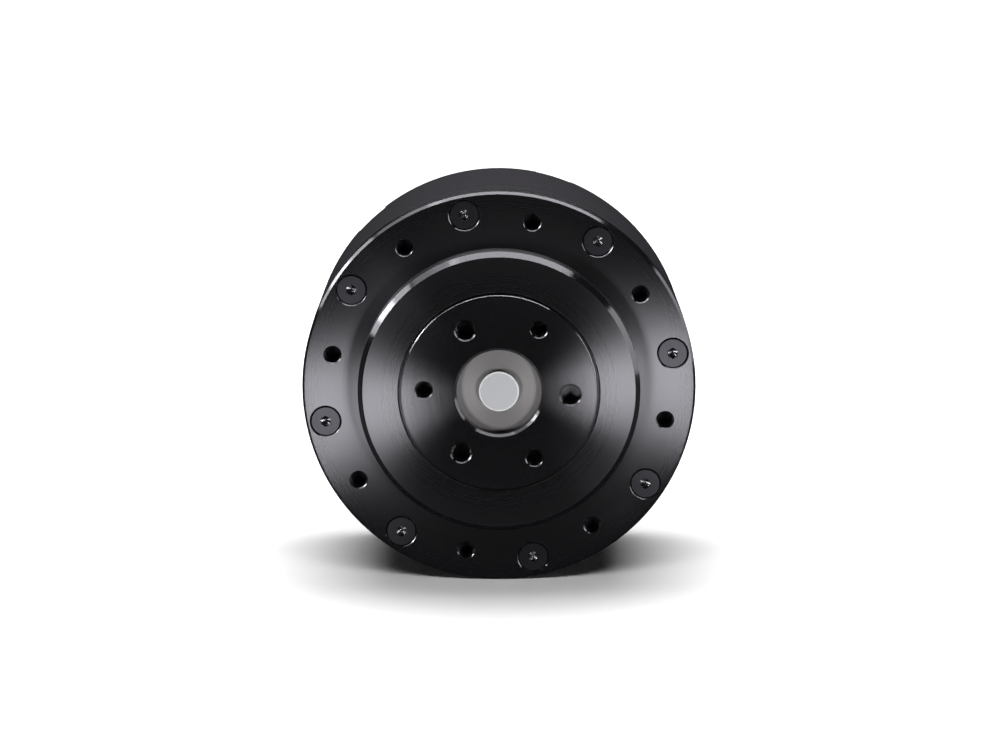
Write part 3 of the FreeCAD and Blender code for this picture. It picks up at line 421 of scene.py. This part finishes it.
# %% Turned aluminium and nickel plate
bare_aluminium, tree, shader = finish("turned_aluminium", {
    "Base Color": linear("#D6D8DA"), "Metallic": 1.0, "Roughness": 0.35,
    "Anisotropic": 0.7, "Anisotropic Rotation": 0.25})
follow_circles(tree, shader)
marks = rings(tree, 0.3)
roughen(tree, shader, marks, 0.28, 0.42)
relief(tree, shader, marks, 0.002)
dress(bare_aluminium, "motor_end_plate", "rotor_hub")

nickel_plate, tree, shader = finish("nickel_plate", {
    "Base Color": linear("#C9C3B8"), "Metallic": 1.0, "Roughness": 0.22})
cloudy = add(tree, "TexNoise", {"Scale": 1 / 2.0, "Detail": 5},
             {"Vector": place_in_mm(tree)}).outputs["Fac"]
roughen(tree, shader, cloudy, 0.16, 0.3)
relief(tree, shader, cloudy, 0.003)
dress(nickel_plate, "rotor_magnets", "rotor_magnet_ring", "rod_magnet")

# %% [markdown]
# ## Rubber, plastic and the circuit board
# The seal is moulded nitrile rubber: black, dull, with a bloom that makes it patchy. The roller
# cage is glass filled polyamide, whose short fibres show as fine pale flecks.

# %% Rubber and glass filled polyamide
nitrile_rubber, tree, shader = finish("nitrile_rubber", {
    "Base Color": linear("#161616"), "IOR": 1.52, "Roughness": 0.7})
bloom = add(tree, "TexNoise", {"Scale": 1 / 1.5, "Detail": 6},
            {"Vector": place_in_mm(tree)}).outputs["Fac"]
roughen(tree, shader, bloom, 0.6, 0.85)
relief(tree, shader, bloom, 0.01)
dress(nitrile_rubber, "output_seal")

glass_filled, tree, shader = finish("glass_filled_polyamide", {
    "Base Color": linear("#C9BFA6"), "IOR": 1.53, "Roughness": 0.5})
fibres_long = 4         # the fibres lie along the axis, so the lumps are drawn longer there
flecks = add(tree, "TexNoise", {"Scale": 1 / 0.4, "Detail": 3},
             {"Vector": place_in_mm(tree, (MM, MM / fibres_long, MM))}).outputs["Fac"]
colour_between(tree, shader, flecks, "#B7AB8E", "#D8CFB8")
relief(tree, shader, flecks, 0.008)
dress(glass_filled, "bearing_cage")

# %% [markdown]
# The board is woven glass and epoxy under a green lacquer. The weave is about 0.5 mm, and the
# copper below shows as paler tracks, here a brick pattern 3 mm wide. The parts on it are
# moulded epoxy, except the round cans: they lie further from the axis than the rest, so the
# distance from the axis tells them apart.

# %% Lacquered board and its parts
green_board, tree, shader = finish("green_lacquered_board", {
    "Base Color": linear("#0F5232"), "IOR": 1.5, "Roughness": 0.35,
    "Coat Weight": 0.6, "Coat Roughness": 0.12})
place = place_in_mm(tree)
upright = add(tree, "Mapping", {"Rotation": (math.radians(90), 0, 0)}, {"Vector": place})
tracks = add(tree, "TexBrick", {"Scale": 1.0, "Mortar Size": 0.16, "Brick Width": 3.0,
                                "Row Height": 1.2, "Color1": linear("#0E4D2E"),
                                "Color2": linear("#125A37"), "Mortar": linear("#1B7447")},
             {"Vector": upright.outputs["Vector"]})
tree.links.new(tracks.outputs["Color"], shader.inputs["Base Color"])
weave_mm = 0.5
weave = add(tree, "TexWave", {"Scale": WAVE_LENGTH / weave_mm, "Distortion": 0.3},
            {"Vector": place})
relief(tree, shader, weave.outputs["Fac"], 0.01)
dress(green_board, "driver_board")

moulded_epoxy, tree, shader = finish("moulded_epoxy", {
    "Base Color": linear("#1C1D1E"), "IOR": 1.55, "Roughness": 0.5})
cans_from = 16.9        # the cans lie further out than this, and the other parts don't
is_can = add(tree, "Math", {"operation": "GREATER_THAN", 1: cans_from},
             {0: from_axis(tree)}).outputs[0]
colour_where(tree, shader, is_can, "#B9BBBE")
tree.links.new(is_can, shader.inputs["Metallic"])
speckle = add(tree, "TexNoise", {"Scale": 1 / 0.2}, {"Vector": place_in_mm(tree)}).outputs["Fac"]
relief(tree, shader, speckle, 0.006)
dress(moulded_epoxy, "board_parts")

turned_brass, tree, shader = finish("turned_brass", {
    "Base Color": linear("#C8A24E"), "Metallic": 1.0, "Roughness": 0.28})
feed_mm = 0.25
tool_lines = add(tree, "TexWave", {"bands_direction": "Y", "Scale": WAVE_LENGTH / feed_mm},
                 {"Vector": place_in_mm(tree)}).outputs["Fac"]
relief(tree, shader, tool_lines, 0.004)
dress(turned_brass, "board_standoffs")

# %% [markdown]
# ## The sockets at the rear
# The housings are moulded: the power one in amber polyamide, the data ones in ivory nylon. Their
# contacts belong to the same solids, so a mask finds them by their place. The power pins are
# 2 mm round and gold plated, and stand 2.5 mm left and right of the middle.

# %% Amber housing with gold pins
amber_plastic, tree, shader = finish("amber_polyamide", {
    "Base Color": linear("#D9A02B"), "IOR": 1.53, "Roughness": 0.42, "Subsurface Weight": 0.1,
    "Subsurface Radius": (1.0, 0.5, 0.2), "Subsurface Scale": 0.001})
pin_place, pin_radius = (2.5, 0, -21), 1.1
place = place_in_mm(tree)
split = add(tree, "SeparateXYZ", links={"Vector": place})
sideways = add(tree, "Math", {"operation": "ABSOLUTE"}, {0: split.outputs["X"]}).outputs[0]
folded = add(tree, "CombineXYZ", links={"X": sideways, "Z": split.outputs["Z"]}).outputs[0]
from_pin = add(tree, "VectorMath", {"operation": "DISTANCE", 1: pin_place}, {0: folded})
is_pin = add(tree, "Math", {"operation": "LESS_THAN", 1: pin_radius},
             {0: from_pin.outputs["Value"]}).outputs[0]
colour_where(tree, shader, is_pin, "#E3BC6A")
tree.links.new(is_pin, shader.inputs["Metallic"])
skin = add(tree, "TexNoise", {"Scale": 1 / 0.3}, {"Vector": place}).outputs["Fac"]
relief(tree, shader, skin, 0.006)
dress(amber_plastic, "power_connector")

# %% [markdown]
# The data pins are 0.5 mm square and tin plated. They stand in a row at Z = 21 mm, 1.25 mm apart,
# in two groups round X = -6 and +6 mm.

# %% Ivory housings with tin pins
ivory_nylon, tree, shader = finish("ivory_nylon", {
    "Base Color": linear("#E9E2CC"), "IOR": 1.53, "Roughness": 0.38, "Subsurface Weight": 0.15,
    "Subsurface Radius": (1.0, 0.8, 0.5), "Subsurface Scale": 0.001})
group_middle, group_half = 6.0, 2.3     # mm sideways
row_middle, row_half = 21.0, 0.3        # mm up
place = place_in_mm(tree)
split = add(tree, "SeparateXYZ", links={"Vector": place})
sideways = add(tree, "Math", {"operation": "ABSOLUTE"}, {0: split.outputs["X"]}).outputs[0]
off_group = add(tree, "Math", {"operation": "SUBTRACT", 1: group_middle}, {0: sideways})
across = add(tree, "Math", {"operation": "ABSOLUTE"}, {0: off_group.outputs[0]}).outputs[0]
off_row = add(tree, "Math", {"operation": "SUBTRACT", 1: row_middle}, {0: split.outputs["Z"]})
upward = add(tree, "Math", {"operation": "ABSOLUTE"}, {0: off_row.outputs[0]}).outputs[0]
in_row = add(tree, "Math", {"operation": "LESS_THAN", 1: row_half}, {0: upward}).outputs[0]
in_group = add(tree, "Math", {"operation": "LESS_THAN", 1: group_half}, {0: across}).outputs[0]
is_pin = add(tree, "Math", {"operation": "MULTIPLY"}, {0: in_row, 1: in_group}).outputs[0]
colour_where(tree, shader, is_pin, "#C4C6C8")
tree.links.new(is_pin, shader.inputs["Metallic"])
skin = add(tree, "TexNoise", {"Scale": 1 / 0.3}, {"Vector": place}).outputs["Fac"]
relief(tree, shader, skin, 0.006)
dress(ivory_nylon, "signal_sockets")

print("solids left without a finish:", sorted(undressed))

# %% [markdown]
# ## The floor
# The object stands on its rim on a plain white sheet. Round the object the sheet shows what the
# lamps give it, so the shadow stays. Further out it fades to pure white for the camera, which is
# what a cut-out picture shows. Only camera rays see that white. A studio keeps the sheet out of
# the black metal's reflections with a black card, so here reflections don't see the sheet.

# %% White sheet with a soft shadow
lowest = solid_box[0].z
sheet_size = 8                      # m, so that its edges lie out of the picture
sheet_middle = (0, 0.02, lowest)
shown_wide, shown_deep = 50, 68     # mm from the middle, where the sheet is a third faded
bpy.ops.mesh.primitive_plane_add(size=sheet_size, location=sheet_middle)
floor = bpy.context.object
floor.name = "studio_floor"
paper, tree, shader = finish("matt_white_paper", {
    "Base Color": linear("#F2F2F2"), "Roughness": 0.9, "Specular IOR Level": 0.1})
rays = add(tree, "LightPath")
where = place_in_mm(tree, (MM / shown_wide, MM / shown_deep, 0))
away = add(tree, "VectorMath", {"operation": "LENGTH"}, {0: where}).outputs["Value"]
lift = add(tree, "MapRange", {"interpolation_type": "SMOOTHSTEP", "From Min": 0.4,
                              "From Max": 2.0}, {"Value": away}).outputs["Result"]
white = add(tree, "Emission", {"Color": (1, 1, 1, 1)}, {"Strength": lift})
lit = add(tree, "AddShader", links={0: shader.outputs[0], 1: white.outputs[0]})
seen = add(tree, "MixShader", links={0: rays.outputs["Is Camera Ray"], 1: shader.outputs[0],
                                     2: lit.outputs[0]})
output = [node for node in tree.nodes if node.type == "OUTPUT_MATERIAL"][0]
tree.links.new(seen.outputs[0], output.inputs["Surface"])
floor.visible_glossy = False
floor.visible_shadow = False
floor.data.materials.append(paper)
print("floor at Z =", round(lowest * MM, 2), "mm")

# %% [markdown]
# ## The light
# One large soft lamp stands above, behind the front face, so it lights the side and the sheet
# but not the face. A second lights the sheet from in front, so the shadow stays soft. Two lamps
# in front, left and right, make the fans on the turned faces: the taller the lamp, the wider
# the fan. Four narrow lamps stand in an arch over the object. Each bevel on the front mirrors
# that arch, so the bevels shine from one side over the top to the other, brighter and dimmer as
# the lamps are. Two small lamps give the white glints on the bevels and in the screw sockets. A
# lamp is given by its brightness, and its power follows from that and its area, because its
# brightness is what a bevel mirrors.

# %% Lamps by brightness
def lamp(name, place, size, brightness, on_matt=True, on_gloss=True):
    """A rectangular lamp turned to the object. A brightness of 1 shows as white in the picture."""
    data = bpy.data.lights.new(name, "AREA")
    data.shape = "RECTANGLE"
    data.size, data.size_y = size
    data.energy = brightness * math.pi * size[0] * size[1]
    lamp_object = bpy.data.objects.new(name, data)
    bpy.context.scene.collection.objects.link(lamp_object)
    lamp_object.location = place
    lamp_object.rotation_euler = Vector(place).to_track_quat("Z", "Y").to_euler()
    lamp_object.visible_camera = False
    lamp_object.visible_diffuse = on_matt
    lamp_object.visible_glossy = on_gloss
    return lamp_object


lamps = [
    lamp("top", (0, 0.22, 0.58), (0.8, 0.4), 4.8),
    lamp("fill", (0, -0.5, 0.5), (0.6, 0.2), 8.5, on_gloss=False),
    lamp("front_left", (-0.26, -0.54, -0.15), (0.14, 0.16), 26.0),
    lamp("front_right", (0.26, -0.54, -0.105), (0.14, 0.16), 26.0),
    lamp("glint", (-0.56, -0.06, 0.3), (0.1, 0.12), 24.0, on_matt=False),
    lamp("socket_glint", (-0.41, -0.48, 0.29), (0.05, 0.05), 20.0, on_matt=False),
]
arch_radius, arch_y, arch_width = 0.6, -0.05, 0.1
arch = [("arch_right", 14, 0.34, 6.5), ("arch_top", 84, 0.7, 11.0),
        ("arch_between", 122, 0.26, 5.0), ("arch_left", 150, 0.3, 13.0)]
for name, degrees, length, brightness in arch:
    turn = math.radians(degrees)
    place = (arch_radius * math.cos(turn), arch_y, arch_radius * math.sin(turn))
    bow = lamp(name, place, (length, arch_width), brightness, on_matt=False)
    bow.rotation_euler = (0, math.pi / 2 - turn, 0)
    lamps.append(bow)
print("lamps of", [round(each.data.energy, 2) for each in lamps], "watts")

# %% [markdown]
# The rest of the room is dim and grey for the object, and white for the camera. Reflections
# don't see that white either, or else the black faces would come out grey.

# %% The room
room_grey = linear("#1A1A1C")
world = bpy.data.worlds.new("room")
bpy.context.scene.world = world
world.use_nodes = True
tree = world.node_tree
tree.nodes.clear()
rays = add(tree, "LightPath")
dim = add(tree, "Background", {"Color": room_grey, "Strength": 1.0})
white = add(tree, "Background", {"Color": (1, 1, 1, 1), "Strength": 1.0})
seen = add(tree, "MixShader", links={0: rays.outputs["Is Camera Ray"], 1: dim.outputs[0],
                                     2: white.outputs[0]})
add(tree, "OutputWorld", links={"Surface": seen.outputs[0]})
bpy.context.scene.view_settings.view_transform = "Standard"
print("room brightness", round(room_grey[0], 3))

# %% [markdown]
# ## The camera
# The picture was taken straight at the front from 10 degrees above, with a long lens 775 mm
# away: the rear rim of the barrel looks only a little smaller than the flange. The lens shift
# moves the picture a little, so that the axis comes out where the photograph has it.

# %% Camera
data = bpy.data.cameras.new("camera")
camera = bpy.data.objects.new("camera", data)
bpy.context.scene.collection.objects.link(camera)
bpy.context.scene.camera = camera
distance = 0.775
height = math.radians(10.1)
camera.location = distance * Vector((0, -math.cos(height), math.sin(height)))
camera.rotation_euler = (math.radians(90) - height, 0, 0)
data.lens = 139.1       # mm, for a picture 36 mm wide
data.sensor_width = 36
data.shift_x = 0.001
data.shift_y = 0.0124
print("camera at", [round(c, 3) for c in camera.location])
